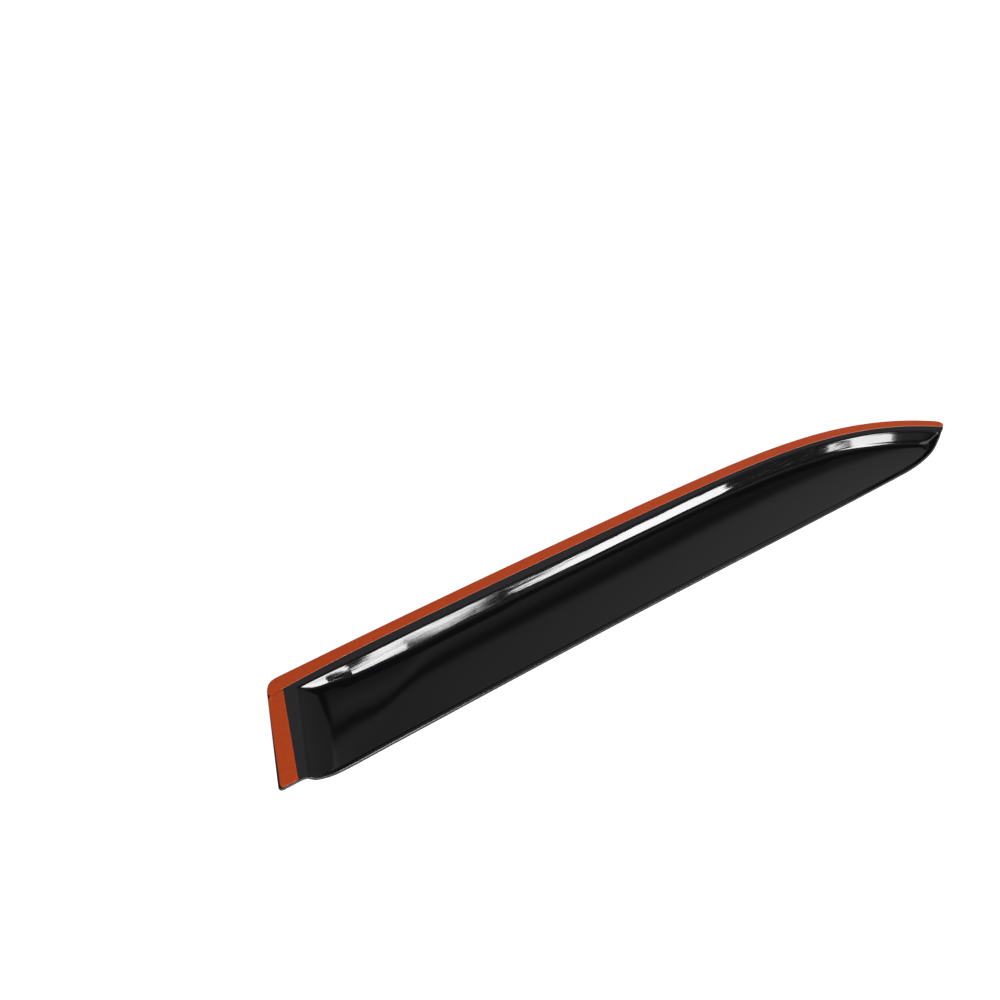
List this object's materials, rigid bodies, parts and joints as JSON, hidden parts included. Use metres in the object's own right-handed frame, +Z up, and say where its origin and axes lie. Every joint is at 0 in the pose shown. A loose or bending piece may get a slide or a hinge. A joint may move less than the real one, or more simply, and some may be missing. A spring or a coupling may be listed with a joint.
{
  "type": "window rain deflector",
  "caption": "Dished gloss acrylic visor, wide at one end and pointed at the other, with foam tape and peel-off film on its flat flanges; lies inner side up.",
  "frame": {"origin": "under the middle of the outline, on the surface that the part lies on", "axes": "+X along the straight front edge towards the pointed tip, +Y towards the taped back edge, +Z up out of the dish"},
  "size_m": [0.7002, 0.1036, 0.0166],
  "materials": {
    "visor": "high gloss dark acrylic",
    "foam": "matt closed-cell foam",
    "liner": "satin film"
  },
  "bodies": {
    "root": {"visor": "visor", "back_tape": "foam", "end_tape": "foam", "back_liner": "liner", "end_liner": "liner"}
  },
  "joints": []
}
